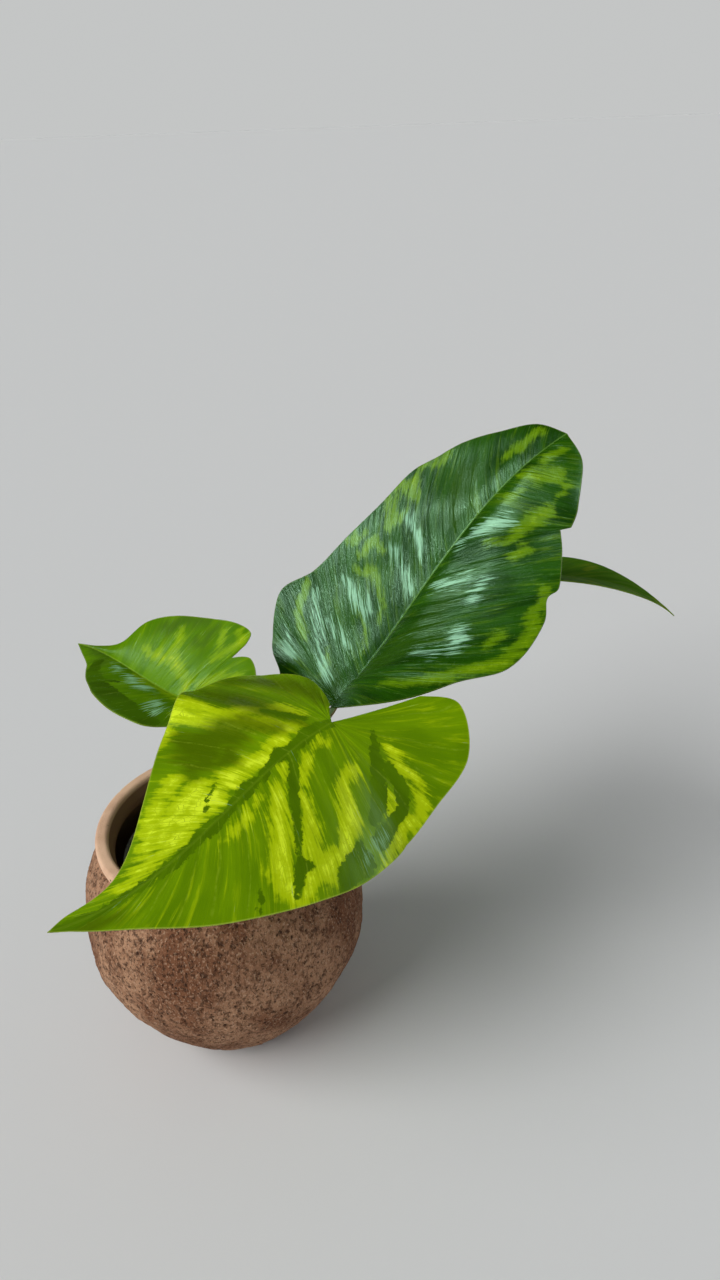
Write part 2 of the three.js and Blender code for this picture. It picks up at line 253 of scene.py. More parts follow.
def turned_faces(rows, sides):
    """Quads of a turned form whose rows close round the axis, and its two end caps."""
    faces = []
    for i in range(rows - 1):
        for k in range(sides):
            after = (k + 1) % sides
            faces.append((i * sides + k, i * sides + after, (i + 1) * sides + after, (i + 1) * sides + k))
    last = (rows - 1) * sides
    return [*faces, tuple(range(sides))[::-1], tuple(range(last, last + sides))]


def turned_points(profile, sides):
    angle = 2 * np.pi * np.arange(sides) / sides
    ring = np.stack([np.cos(angle), np.sin(angle)], -1)
    points = np.zeros((len(profile), sides, 3))
    points[..., :2] = profile[:, None, :1] * ring[None]
    points[..., 2] = profile[:, None, 1]
    return points


def resampled(profile, pitch):
    """The profile with points about every pitch mm, on a smooth curve through its own."""
    profile = np.asarray(profile, float)
    ends = np.vstack([2 * profile[0] - profile[1], profile, 2 * profile[-1] - profile[-2]])
    made = []
    for a, b, c, d in zip(ends, ends[1:], ends[2:], ends[3:]):
        steps = max(1, int(round(np.linalg.norm(c - b) / pitch)))
        u = (np.arange(steps) / steps)[:, None]
        made.append(0.5 * (2 * b + (c - a) * u + (2 * a - 5 * b + 4 * c - d) * u**2
                           + (3 * b - a - 3 * c + d) * u**3))
    return np.vstack(made + [profile[-1:]])


# Leaf blades, with the same values as the CAD's. The outline points are [s, w] on the flat blade: s runs
# along the midrib from the petiole to the tip, w is the distance out from it. A third value marks a corner.
LEAVES = {}
LEAVES["front"] = {
    "base": (56, -20, 182), "heading": (214, 224, 195), "pitch": (-8, -18, -3), "roll": (-28, -30, -20),
    "left": {
        "fold": (-6, 3, 0), "droop": (31, 8, 0), "lobe_bend": 28, "outline": [
            (-38, 10), (-50, 22), (-41, 42), (-19, 51), (5, 58), (35, 57), (57, 48), (82, 31), (104, 13),
            (122, 3), (131, 0),
        ],
    },
    "right": {
        "crest": {"start": 11, "slant": 0.4, "height": 13, "width": 8.5, "reach": 58},
        "fold": (-30, -11, -9), "droop": (16, 32, 38), "lobe_bend": -170, "outline": [
            (-7, 12), (-11, 24), (-13, 38), (-7, 51), (9, 64), (30, 58), (48, 46), (75, 27), (102, 9),
            (124, 4), (131, 0),
        ],
    },
}
LEAVES["upper"] = {
    "base": (57, 38, 153), "heading": (26, 23, 7), "pitch": (40, 49, 30), "roll": (18, 23, 22),
    "left": {
        "fold": (0, 2, 0), "droop": (2, 9, 10), "lobe_bend": -60, "outline": [
            (-14, 8.5), (-21, 23), (-10, 37), (-2, 53), (22, 68), (43, 57), (65, 52), (87, 47), (106, 45),
            (117, 40), (127, 36), (135, 31), (143, 25), (156, 15), (163, 0),
        ],
    },
    "right": {
        "fold": (57, 9, 0), "droop": (-12, 17, 10), "lobe_bend": -77, "outline": [
            (-9, 10), (-12, 24), (-1, 41), (19, 51), (44, 56), (62.5, 65), (88, 60), (98.5, 53.4),
            (106.5, 53.9), (121.5, 44), (129.3, 36.3, 1), (133.9, 39.2, 1), (143, 35.3), (160, 19),
            (163, 0),
        ],
    },
}
LEAVES["left"] = {
    "base": (-14, 38, 157.5), "heading": (149, 139, 154), "pitch": (2, 7, 2), "roll": (-20, -20, -20),
    "left": {
        "fold": (37, 31, 10), "droop": (7, 4, 0), "lobe_bend": -30, "outline": [
            (-12, 7), (-18, 18), (-14, 29), (-7, 36), (3, 36.5), (14, 35), (29, 30), (37, 26), (45, 22),
            (52, 17), (58, 12), (70, 5), (77, 0),
        ],
    },
    "right": {
        "fold": (21, 19, 10), "droop": (16, 10, 0), "lobe_bend": -30, "outline": [
            (-22, 12), (-28.5, 20.5), (-21.5, 29.3), (-12.2, 26.2, 1), (-15.6, 34.3, 1), (-15, 41.5),
            (-3, 43.4), (18, 40), (36, 33.8), (48.5, 24), (54, 9), (65, 2.5), (77, 0),
        ],
    },
}
LEAVES["right"] = {
    "base": (113, 94, 184), "heading": (0, -2, 4), "pitch": (10, -6, -46), "roll": (-26, -17, 1),
    "left": {
        "fold": (4, 12, 0), "droop": (20, 20, 0), "lobe_bend": -30, "outline": [
            (-16, 8), (-24, 22), (-15, 37), (4, 44), (31, 45), (59, 38), (82, 27), (106, 10), (117, 3),
            (126, 0),
        ],
    },
    "right": {
        "fold": (4, 7, 0), "droop": (20, 20, 0), "lobe_bend": -30, "outline": [
            (-16, 8), (-24, 22), (-15, 37), (4, 44), (31, 44), (59, 37), (82, 26), (106, 9), (117, 3),
            (126, 0),
        ],
    },
}
SIGN = {"left": 1, "right": -1}
SIDES = tuple(SIGN)
FAN = {"front": 0.42, "upper": 0.3, "left": 0.34, "right": 0.36}  # share of the rows from the petiole
FAN_POWER = 1.2
VEIN_SWEEP = 0.12
CREST_LIMIT, CREST_POWER = 1.3, 1.6
TIP_SLOPE, SLOPE_LIMIT = 0.8, 1.2
BEND_SPAN = 100  # mm over which droop and lobe_bend turn the blade by their degrees
FLAT_BEND = 1e-6  # radians for each mm, in place of no bend
MIDRIB_STEPS = 400
FINE_ROWS = 15  # rows between two outline points
FINE_COLUMNS = 40
STATION_COLUMN = 24  # the column whose length counts as the way along the blade
BLADE_THICKNESS = 0.5
KEEL_DEPTH, KEEL_WIDTH = 1.1, 1.5


def of_leaf(table, key):
    """One leaf's values from a table with a column for each leaf."""
    column = list(LEAVES).index(key)
    return {name: row[column] for name, row in table.items()}


def along(values, q):
    """The smooth curve through values at the petiole, the middle and the tip, at the share q."""
    base, middle, tip = values
    return base * (1 - q) * (1 - 2 * q) + 4 * middle * q * (1 - q) + tip * q * (2 * q - 1)


def blade_length(leaf):
    return leaf["left"]["outline"][-1][0]


def midrib_axes(leaf, s):
    """Directions at s along the midrib: to the tip, out to the left, and up out of the blade."""
    q = np.clip(s / blade_length(leaf), 0, 1)
    heading, pitch, roll = (np.radians(along(leaf[key], q)) for key in ("heading", "pitch", "roll"))
    x = np.stack([np.cos(heading) * np.cos(pitch), np.sin(heading) * np.cos(pitch), np.sin(pitch)], -1)
    level = np.stack([-np.sin(heading), np.cos(heading), 0 * heading], -1)
    up = np.cross(x, level)
    y = level * np.cos(roll)[..., None] + up * np.sin(roll)[..., None]
    return x, y, np.cross(x, y)


def midrib_points(leaf, s):
    marks = np.linspace(0, blade_length(leaf), MIDRIB_STEPS + 1)
    steps = midrib_axes(leaf, (marks[:-1] + marks[1:]) / 2)[0] * (marks[1] - marks[0])
    path = np.array(leaf["base"], float) + np.vstack([np.zeros(3), np.cumsum(steps, axis=0)])
    return np.stack([np.interp(s, marks, path[:, k]) for k in range(3)], -1)


def arc_offsets(angle, bend, width):
    """How far out and up an arc of this width ends that starts at the angle and bends down."""
    k = np.where(np.abs(bend) < FLAT_BEND, FLAT_BEND, bend)
    across = (np.sin(angle) - np.sin(angle - k * width)) / k
    rise = (np.cos(angle - k * width) - np.cos(angle)) / k
    return across, rise


def blade_points(leaf, side, s, w):
    half = leaf[side]
    q = np.clip(s / blade_length(leaf), 0, 1)
    bend = np.radians(along(half["droop"], q)) / BEND_SPAN
    across, rise = arc_offsets(np.radians(along(half["fold"], q)), bend, w)
    crest = half.get("crest")
    if crest:
        off = (s - crest["start"] - crest["slant"] * w) / crest["width"]
        share = np.clip(w / crest["reach"], 0, CREST_LIMIT) ** CREST_POWER
        rise = rise + crest["height"] * np.exp(-off * off) * share
    x, y, z = midrib_axes(leaf, s)
    lobe_bend = -math.radians(half["lobe_bend"]) / BEND_SPAN
    back, lift = arc_offsets(0.0, lobe_bend, np.maximum(-s, 0))
    points = midrib_points(leaf, np.maximum(s, 0)) - x * back[..., None] + z * (lift + rise)[..., None]
    return points + y * (SIGN[side] * across)[..., None]


def outline_points(points, t):
    """The smooth outline at t, counted in outline points from the first."""
    flat = np.array([p[:2] for p in points], float)
    slope = np.zeros_like(flat)
    slope[1:-1] = 0.5 * (flat[2:] - flat[:-2])
    slope[0] = 0.5 * (flat[1] - flat[0])
    slope[-1] = TIP_SLOPE * (flat[-1] - flat[-2])
    for k, point in enumerate(points[1:-1], 1):
        if len(point) > 2:
            slope[k] = 0
    k = np.minimum(t.astype(int), len(points) - 2)
    u = (t - k)[:, None]
    limit = SLOPE_LIMIT * np.linalg.norm(flat[k + 1] - flat[k], axis=1)

    def held(vectors):
        size = np.linalg.norm(vectors, axis=1)
        return vectors * np.minimum(1, limit / np.maximum(size, TINY))[:, None]

    a, b = held(slope[k]), held(slope[k + 1])
    return ((2 * u**3 - 3 * u**2 + 1) * flat[k] + (u**3 - 2 * u**2 + u) * a
            + (3 * u**2 - 2 * u**3) * flat[k + 1] + (u**3 - u**2) * b)


def along_vein(ends, u):
    """The point of each row at u, 0 on the midrib and 1 on the margin."""
    root, s_end, w_end = ends
    sweep = VEIN_SWEEP * np.clip(s_end / np.maximum(w_end, TINY), -1, 1) * w_end
    s = (1 - u) ** 2 * root + 2 * u * (1 - u) * (0.5 * (root + s_end) - sweep) + u**2 * s_end
    return s, u * w_end


def half_grid(key, side):
    """Flat coordinates of one half: rows follow its side veins, columns run out from the midrib."""
    leaf, fan = LEAVES[key], FAN[key]
    outline = leaf[side]["outline"]
    spans = len(outline) - 1
    rows = spans * FINE_ROWS
    t = np.arange(rows + 1) / FINE_ROWS
    root = blade_length(leaf) * np.clip((t / spans - fan) / (1 - fan), 0, 1) ** FAN_POWER
    end = outline_points(outline, t)
    ends = (root[:, None], end[:, :1], np.maximum(end[:, 1:], 0))
    u = np.arange(FINE_COLUMNS + 1)[None] / FINE_COLUMNS
    s, w = along_vein(ends, u)
    apart = np.hypot(np.diff(s, axis=0), np.diff(w, axis=0))[:, STATION_COLUMN]
    station = np.concatenate([[0], np.cumsum(apart)])[:, None] + 0 * s
    out = np.hypot(np.diff(s, axis=1), np.diff(w, axis=1))
    reach = np.concatenate([np.zeros((rows + 1, 1)), np.cumsum(out, axis=1)], axis=1)
    return {"s": s, "w": w, "u": u + 0 * s, "station": station, "reach": reach,
            "margin": reach[:, -1:] - reach, "ends": ends}


# Markings, given as strokes on each half. The points of a stroke are [s, w, radius].
FIELD_WIDTH = 12.0  # mm over which a stroke's field falls from 1 to 0
FEATHER = ((0.7, 4.2), (0.4, 1.8))  # strength of each noise and its size along the midrib
FEATHER_STRETCH = 16  # how much longer that noise is along the side veins


def feathered(grid, slide, seed):
    """Flat coordinates slid by up to slide mm along the side veins, a different way every mm or two."""
    place = np.stack([grid["station"], grid["reach"] / FEATHER_STRETCH, 0 * grid["u"]], -1)
    shift = slide * clouds(place, FEATHER, seed)
    u = np.clip(grid["u"] + shift / np.maximum(grid["reach"][:, -1:], 1), 0, 1)
    return along_vein(grid["ends"], u)


def stroke_field(strokes, s, w):
    """1 well inside the strokes, 0.5 on their edge, 0 well outside."""
    nearest = np.full(s.shape, np.inf)
    for marks in strokes:
        for (s0, w0, r0), (s1, w1, r1) in zip(marks, marks[1:] or marks):
            length2 = max((s1 - s0) ** 2 + (w1 - w0) ** 2, TINY)
            share = np.clip(((s - s0) * (s1 - s0) + (w - w0) * (w1 - w0)) / length2, 0, 1)
            distance = np.hypot(s - s0 - share * (s1 - s0), w - w0 - share * (w1 - w0))
            nearest = np.minimum(nearest, distance - r0 - share * (r1 - r0))
    return np.clip(0.5 - nearest / FIELD_WIDTH, 0, 1)


MARKS = {}
MARKS["front", "dark", "left"] = [
    [(0, 0, 1.6), (9, 0, 1), (21, 0.5, 1.4), (28, 0, 0.9), (36, 0.6, 1.3), (46, 1, 1.7), (60, 1, 1.9),
     (72, 1, 1.6), (81, 1, 1.6), (100, 0.3, 1.2), (131, 0, 2)],
    [(21, 1, 1.8), (26, 6.8, 2.1), (32, 13, 1.9), (37, 19, 1.9), (42.6, 25.5, 1.5), (48, 30, 0.9)],
    [(50, 32, 1.2), (52, 35, 2.4), (56, 38, 1.7), (60.5, 41, 0.7)], [(50, 33, 1), (48.5, 36.8, 1.6)],
    [(-12, 12, 1), (-7, 23, 2.6), (-2, 31, 3.6), (2.5, 38, 4), (12, 42, 2.4)],
    [(-10, 28, 2.4), (-10, 38, 3), (-6.5, 44, 2.4), (4, 48, 3), (16, 50, 4)],
    [(27, 45.5, 2.6), (31, 50, 6), (40, 49.5, 4.5), (46, 52, 2.2)], [(69, 31, 1), (70, 33, 1.2)],
    [(73, 35, 0.9)],
]
MARKS["front", "dark", "right"] = [
    [(0, 1, 2.4), (11, 2, 3), (18, 1, 1.6), (25, 2.5, 3.2), (31, 1, 1.5), (36, 0.5, 1.2), (42, 0.8, 1.6),
     (47, 1.5, 2.4), (52, 0.5, 1), (58, 0.3, 0.9), (64, 0.8, 1.5), (69, 1.3, 2.3), (73, 0.4, 1),
     (80, 0.3, 1), (100, 0.2, 1), (131, 0, 2)],
    [(6, 9, 1.2), (11, 18, 1.6), (15, 26, 1)], [(57, 9, 0.7), (51, 12, 0.8)],
    [(61, 6, 0.8), (57, 9, 0.5)],
]
MARKS["front", "lime", "left"] = [
    [(27, 3, 2), (35, 9.5, 3), (43.5, 15.7, 4), (50, 24, 5), (57, 30, 5), (62, 38, 4)],
    [(30, 17, 2), (35, 26, 3), (43, 33, 3.5), (51, 43, 5), (60, 43, 3)],
    [(3, 20, 2), (14, 25, 3), (20, 35, 4), (30, 40, 4), (41, 42, 4), (50, 46, 4)],
    [(-14, 21, 2.4), (-14, 28, 2.6), (-17, 36, 2.4), (-15, 47, 2.6), (-8, 51, 3.4), (0, 53, 3.6),
     (14, 56, 2.4), (27, 56, 2)],
    [(-4, 34, 1.8), (-1.5, 40, 2), (-3, 46, 2.6)], [(8, 7, 2), (18, 8, 2.4), (26, 12, 2)],
    [(45, 6, 1.5), (55, 8, 1.5), (66, 9, 1.2)],
]
MARKS["front", "lime", "right"] = [
    [(14, 8, 3), (20, 9, 4), (31, 8, 4), (41, 9, 5), (51, 9, 5), (61, 10, 6), (69, 8, 5), (76, 6.5, 4),
     (88, 5, 3), (104, 4, 2)],
    # Painted light: a lime band along the lit front face of the crest.
    [(45, 62, 4), (39, 54, 5), (33, 42, 4), (27, 31, 3.4), (19, 18, 3), (12, 7, 2.5)],
    [(56, 16, 5), (68, 15, 5), (80, 11, 4)], [(60, 28, 4), (72, 22, 4), (88, 12, 4)],
    [(50, 44, 4), (46, 50, 5), (36, 52, 5), (31, 36, 3.5), (20, 30, 3), (9, 24, 2.6), (6.3, 13, 2)],
]
MARKS["front", "shade", "left"] = [[(131, 0, 4), (110, 4, 3)]]
MARKS["front", "shade", "right"] = [
    [(18, 14, 3), (27, 24, 7), (44, 31, 9), (46, 38, 6)], [(36, 18, 4), (50, 22, 5)],
    # The next two strokes are painted shade: a dark band just behind the crest, and the rear lobe beyond
    # it. The two above are the leaf's own olive zone.
    [(9, 8, 1.5), (13, 22, 3), (17, 38, 4), (22, 54, 4)],
    [(-6, 16, 3), (-5, 34, 5), (2, 52, 5), (10, 58, 3)],
]
# Painted highlights: pale strokes in the colour that stand in for the leaves' mirrored highlights.
MARKS["front", "painted_highlight", "left"] = [[(11, 48, 1.0), (20, 51, 1.4), (30, 51, 1.0)]]
MARKS["upper", "lime", "left"] = [
    [(98, 45, 3), (102, 39.5, 3), (98, 33, 2.2)], [(91, 44, 3), (82, 34.5, 3), (88, 33, 2.6)],
    [(111, 41.5, 2.2), (120, 36.6, 2.4)], [(64.7, 40, 2.6), (71, 37, 2.8), (70.6, 30, 1.6)],
    [(57, 36.5, 2), (60, 27, 1.6), (50, 12.6, 1.1), (42, 9.3, 1)], [(64, 49, 2.4), (73, 46, 2)],
    [(35, 57, 2.6), (26, 54, 2.4), (18, 49, 2), (13, 39, 1.4)],
    [(42, 25, 0.6), (36, 14.6, 0.6), (26, 5.4, 0.6)], [(17, 24, 0.8), (9, 16.8, 0.9), (3, 17, 1)],
    [(137, 11, 2), (147, 10, 2.8), (153.5, 9.6, 2.2)],
]
MARKS["upper", "lime", "right"] = [
    [(134.7, 4, 2), (140, 10, 3.6), (147.7, 18, 3)], [(125, 8.8, 1.8), (130, 11, 1)],
    [(147, 25, 1.8), (139, 24.8, 1.4)],
    [(134, 27, 2.6), (125, 25, 3), (116, 23.6, 2.6), (108, 24, 1.8), (100, 14, 0.9)],
    [(111, 30.6, 2.6), (103, 29.4, 2)],
    [(101, 51, 2.6), (95, 53, 2.6), (88, 56, 3), (75, 60, 3.8), (62, 61, 4), (49, 54, 2.6),
     (39, 49, 2.2), (28.7, 43, 1.8), (21.6, 36, 1.4)],
    [(71, 50, 2.2), (64, 49, 2.4)], [(155, 7, 2.4), (147, 6.4, 1.6)],
]
MARKS["upper", "shade", "left"] = [[(-14, 12, 6), (8, 12, 5)], [(120, 20, 6), (100, 8, 4)]]
MARKS["upper", "shade", "right"] = [[(20, 12, 8), (50, 22, 8), (70, 16, 5)]]
# Painted highlights on both halves of the upper leaf.
MARKS["upper", "painted_highlight", "left"] = [
    [(8, 50, 2.4), (1, 40, 2.4)], [(34, 50, 1.0), (13, 27, 2.0), (4, 12, 1.4)],
    [(49, 40, 1.4), (43, 24, 2.6), (43, 16, 2.8)], [(28, 34, 1.0), (24, 18, 1.6)],
    [(75, 26, 1.6), (63, 5, 1.8)], [(90, 30, 1.2), (80, 8, 1.4)],
]
MARKS["upper", "painted_highlight", "right"] = [
    [(94, 2, 1.4), (106, 9, 2.2), (116, 15, 1.8)], [(88, 26, 1.8), (77, 29, 2.0)],
    [(62, 36, 2.4), (53, 41, 1.8)], [(46, 36, 2.2), (42, 30, 1.4)], [(72, 8, 1.0), (84, 20, 1.4)],
]
MARKS["left", "dark", "left"] = [
    [(54, 8, 2.5), (48, 16, 3), (36, 22, 4), (23, 25, 5), (10, 29, 5), (-6, 32, 4)],
    [(30, 14, 0.8), (36, 17, 1.2)],
]
MARKS["left", "lime", "left"] = [[(4, 2, 2), (20, 3, 2.4), (34, 3, 2)], [(-8, 8, 2), (-8, 18, 2)]]
MARKS["left", "lime", "right"] = [
    [(3, 3, 3), (7, 10, 3), (14, 14, 3), (26, 14, 3), (38, 13, 2)],
    [(22, 17, 2), (23, 25, 2.4), (26, 31, 2)], [(-2, 8, 3), (-10, 14, 3), (-18, 18, 3)],
    [(-11, 39, 3), (-14, 35, 2.8), (-9, 29, 2), (-4, 22, 1.2)], [(-1.3, 37, 1.6), (-3, 28, 1)],
]
MARKS["left", "shade", "left"] = [
    [(60, 2, 3), (76, 0, 3)], [(54, 8, 3), (40, 24, 4), (14, 32, 4), (-8, 31, 3)],
]
MARKS["left", "shade", "right"] = [
    [(60, 2, 3), (76, 0, 3)], [(36, 26, 4), (28, 34, 4), (14, 39, 3)],
    [(13, 28, 2), (6, 26, 2), (7, 33, 3), (4, 38, 2)],
]
# Painted highlight: the gloss band on the left leaf's near half.
MARKS["left", "painted_highlight", "left"] = [
    [(45, 6, 1.0), (30, 7.5, 2.4), (18, 8, 3.0)], [(4, 13, 2.0), (1, 22, 2.4)],
]
MARKS["right", "lime", "left"] = [
    [(112, 3, 2), (126, 0, 4)], [(22, 14, 1), (28, 26, 2), (31, 37, 1.6)], [(50, 20, 1.4), (57, 30, 2.6)],
    [(74, 12, 1), (80, 20, 2)],
]
MARKS["right", "lime", "right"] = [
    [(112, 3, 2), (126, 0, 4)], [(10, 14, 1.2), (16, 27, 2.4), (19, 37, 1.8)],
    [(42, 22, 1.6), (47, 33, 2.8)], [(60, 12, 1), (70, 24, 2)], [(90, 7, 1.2), (95, 10, 1.6)],
]
MARKS["right", "shade", "left"] = [[(0, 6, 4), (50, 8, 5)]]
MARKS["right", "shade", "right"] = [[(0, 6, 4), (50, 8, 5)]]

# The blades' relief in mm. The columns are the front, upper, left and right leaf.
RELIEF = {
    "deep": (0.2, 0.5, 0.2, 0.24),  # how far the side veins press in
    "fine": (0.03, 0.06, 0.04, 0.05),  # height of the fine ribs
    "pitch": (10.5, 8.5, 7.5, 9.0),  # between side veins
    "swell": (0.15, 1.3, 0.5, 0.2),  # broad swellings
    "bulge": ((0, 0), (0, 3.4), (0.8, 0.8), (0, 0)),  # of the left and the right half
    "feather": (5.0, 2.8, 3.0, 3.0),  # how far the markings feather along the veins
}
BULGE_POWER = 0.8
SWELL_SIZE, UNEVEN_SIZE, BULGE_SIZE = 17.0, 14.0, 30.0  # mm, of the noise in each
RIB_PITCH = 2.7
RELIEF_START = 9  # mm from the midrib where the relief is full
BULGE_START, BULGE_END = 12, 25  # mm from the petiole and from the tip


def vein_relief(key, side, grid):
    """Height of the blade's quilting between its side veins and of its broad swellings."""
    form = of_leaf(RELIEF, key)
    s, station, reach, u = (grid[name] for name in ("s", "station", "reach", "u"))
    phase = station / form["pitch"] + 0.16 * np.sin(station / 17)
    quilts = np.abs(np.sin(np.pi * phase)) - 0.6
    wander = 1.3 * np.sin(station / 11) + 0.6 * np.sin(reach / 9)
    ribs = np.sin(2 * np.pi * station / RIB_PITCH + wander)
    envelope = np.clip(reach / RELIEF_START, 0, 1) * (1 - 0.85 * u**5)
    flat = np.stack([s, grid["w"], 0 * u], -1)
    uneven = 0.6 + 0.6 * cloud(flat, UNEVEN_SIZE, 5)
    hills = form["swell"] * cloud(flat, SWELL_SIZE, 9)
    bulge = form["bulge"][SIDES.index(side)] * np.sin(np.pi * u**BULGE_POWER)
    bulge = bulge * (1 + 0.35 * cloud(flat, BULGE_SIZE, 4)) * np.clip(s / BULGE_START, 0, 1)
    bulge = bulge * np.clip((blade_length(LEAVES[key]) - s) / BULGE_END, 0, 1)
    return envelope * (uneven * (form["deep"] * quilts + form["fine"] * ribs) + hills) + bulge


def blade_surface(key, grids):
    """Points of the blade's surface, each one's lift and its share of the keel, and the vertex that
    stands at each place of the two grids. The halves share the midrib and the tip."""
    leaf = LEAVES[key]
    rows, columns = (n - 1 for n in grids["left"]["s"].shape)
    midrib = grids["left"]["s"][:, 0]
    fresh = np.concatenate([[True], np.diff(midrib) > 0])
    on_midrib = np.cumsum(fresh) - 1
    points = [blade_points(leaf, "left", midrib[fresh], 0 * midrib[fresh])]
    lift = [np.zeros(fresh.sum())]
    keel = [np.maximum(0, 1 - midrib[fresh] / blade_length(leaf))]
    vertex = []
    start = int(fresh.sum())
    for side in SIDES:
        grid = grids[side]
        s, w = grid["s"][:-1, 1:], grid["w"][:-1, 1:]
        index = np.zeros((rows + 1, columns + 1), int)
        index[:, 0] = on_midrib
        index[:-1, 1:] = start + np.arange(rows * columns).reshape(rows, columns)
        index[-1, 1:] = on_midrib[-1]
        start += rows * columns
        vertex.append(index.ravel())
        points.append(blade_points(leaf, side, s, w).reshape(-1, 3))
        lift.append(vein_relief(key, side, grid)[:-1, 1:].ravel())
        taper = np.maximum(0, 1 - s / blade_length(leaf)) * (s >= 0)
        keel.append((np.exp(-(w / KEEL_WIDTH) ** 2) * taper).ravel())
    return np.vstack(points), np.concatenate(lift), np.concatenate(keel), np.concatenate(vertex)


def top_faces(shape, vertex):
    """Faces of both halves, as lists of grid corners, and the sides that only one face has."""
    corners = np.arange(shape[0] * shape[1]).reshape(shape)
    quads = np.stack([corners[:-1, :-1], corners[:-1, 1:], corners[1:, 1:], corners[1:, :-1]], -1)
    quads = quads.reshape(-1, 4)
    faces, rim = [], {}
    for quad in np.vstack([quads[:, ::-1], quads + corners.size]):
        face = []
        for corner in quad:
            if not any(vertex[corner] == vertex[other] for other in face):
                face.append(int(corner))
        if len(face) < 3:
            continue
        faces.append(face)
        for a, b in zip(face, face[1:] + face[:1]):
            pair = (int(vertex[a]), int(vertex[b]))
            if rim.pop(pair[::-1], None) is None:
                rim[pair] = (a, b)
    return faces, rim


def surface_normals(points, faces):
    """The mean direction of the faces round each point."""
    triangles = np.array([(f[0], f[i], f[i + 1]) for f in faces for i in range(1, len(f) - 1)])
    a, b, c = points[triangles.T]
    facing = np.cross(b - a, c - a)
    normals = np.zeros_like(points)
    for k in range(3):
        np.add.at(normals, triangles[:, k], facing)
    return normals / np.maximum(np.linalg.norm(normals, axis=1), TINY)[:, None]


def leaf_blade(key):
    grids = {side: half_grid(key, side) for side in SIDES}
    points, lift, keel, vertex = blade_surface(key, grids)
    top, rim = top_faces(grids["left"]["s"].shape, vertex)
    above = [vertex[face].tolist() for face in top]
    normals = surface_normals(points, above)
    upper = points + normals * lift[:, None]
    lower = upper - normals * (BLADE_THICKNESS + KEEL_DEPTH * keel)[:, None]
    count = len(points)
    below = [[k + count for k in reversed(face)] for face in above]
    band = [[a, a + count, b + count, b] for a, b in rim]
    faces = above + below + band
    corners = top + [face[::-1] for face in top] + [[a, a, b, b] for a, b in rim.values()]
    under = [0.0] * len(above) + [1.0] * len(below) + [0.5] * len(band)

    mesh = new_mesh(f"blade_{key}", np.vstack([upper, lower]), faces)
    new_piece(mesh, leaf_material(key), f"leaf_{key}")
    paint_blade(mesh, key, grids, np.concatenate(corners), np.repeat(under, [len(f) for f in faces]))
    crisp_rim(mesh, rim, count)


CM = 0.1  # the leaf material's coordinates are in centimetres
HALVES_APART = 20  # cm between the noise of the left half and that of the right
MARGIN_BAND, MIDDLE_BAND = 30, 10  # mm from the margin and the midrib that the material can tell apart
# The tones, their share of the feathering and their seeds. The last one is a painted highlight.
TONE_FEATHER = (("lime", 1.0, 21), ("dark", 0.25, 22), ("shade", 1.4, 23), ("painted_highlight", 0.9, 24))


def paint_blade(mesh, key, grids, corners, under):
    """Stores the flat and vein coordinates and the markings for the material."""
    def at_corners(halves):
        return np.concatenate([np.ravel(half) for half in halves])[corners]

    names = ("s", "w", "station", "reach", "margin")
    s, w, station, reach, inward = (at_corners(grids[side][name] for side in SIDES) for name in names)
    sign = at_corners(np.full(grids[side]["s"].shape, SIGN[side]) for side in SIDES)
    coordinates = {"flat": (s * CM, w * sign * CM),
                   "vein": (station * CM + HALVES_APART * (sign < 0), reach * CM)}
    for name, values in coordinates.items():
        layer = mesh.uv_layers.new(name=name)
        layer.data.foreach_set("uv", np.stack(values, -1).ravel())
    fields = []
    for tone, share, seed in TONE_FEATHER:
        slide = share * of_leaf(RELIEF, key)["feather"]
        fields.append(at_corners(
            stroke_field(MARKS.get((key, tone, side), []), *feathered(grids[side], slide, seed))
            for side in SIDES))
    store(mesh, "tone", "CORNER", fields)
    margin, middle = np.clip(inward / MARGIN_BAND, 0, 1), np.clip(w / MIDDLE_BAND, 0, 1)
    store(mesh, "edge", "CORNER", [margin, under, middle, np.ones(len(corners))])


def crisp_rim(mesh, rim, count):
    """Marks the edges of the thin rim as sharp, so that it doesn't shade the blade's faces."""
    edges = {frozenset((a + k, b + k)) for a, b in rim for k in (0, count)}
    sharp = [frozenset(e.vertices) in edges for e in mesh.edges]
    mesh.attributes.new("sharp_edge", "BOOLEAN", "EDGE").data.foreach_set("value", sharp)


# Leaf materials
VEIN_NOISE = {  # features for each cm along the midrib and the side veins, then noise()'s last values
    "broad": ((1.1, 0.3), 2),
    "streaks": ((4.2, 0.34), 4, 0.6, 0.5),
    "hairs": ((22, 0.9), 3, 0.6),
    "wave": ((0.8, 0.3), 2),
}
NET = (1.0, 0.62)
EVEN = (1, 1, 1)
MARK_EDGES = {  # the levels of a marking's field, with its noise, where it starts and where it is full
    "lime": (0.36, 0.62), "bright": (0.66, 1.0), "dark": (0.46, 0.52), "shade": (0.15, 0.85),
    "painted_highlight": (0.42, 0.72),
}
SHEEN_TINT = (0.55, 1.0, 0.66, 1.0)


def leaf_markings(g, noise, jagged, streak):
    """The share of each marking, from its field of strokes and noise along the veins."""
    streaks, hairs = noise["streaks"], noise["hairs"]
    lime, dark, shade, painted_highlight = g.attribute("tone")
    wander = g.add(g.centred(streaks, streak), g.add(g.centred(jagged, 0.35), g.centred(hairs, 0.4)))
    dark_edge = g.add(g.centred(jagged, 0.42), g.centred(hairs, 0.12))
    shade_edge = g.add(g.centred(streaks, 0.9), g.centred(hairs, 0.4))
    # The edge of the painted highlight, broken up along the veins.
    painted_highlight_edge = g.add(g.centred(streaks, 1.5), g.centred(hairs, 1.9))
    fields = {"lime": (lime, wander), "bright": (lime, g.times(wander, 1.3)), "dark": (dark, dark_edge),
              "shade": (shade, shade_edge), "painted_highlight": (painted_highlight, painted_highlight_edge)}
    return {tone: g.step(g.add(*field), *MARK_EDGES[tone]) for tone, field in fields.items()}


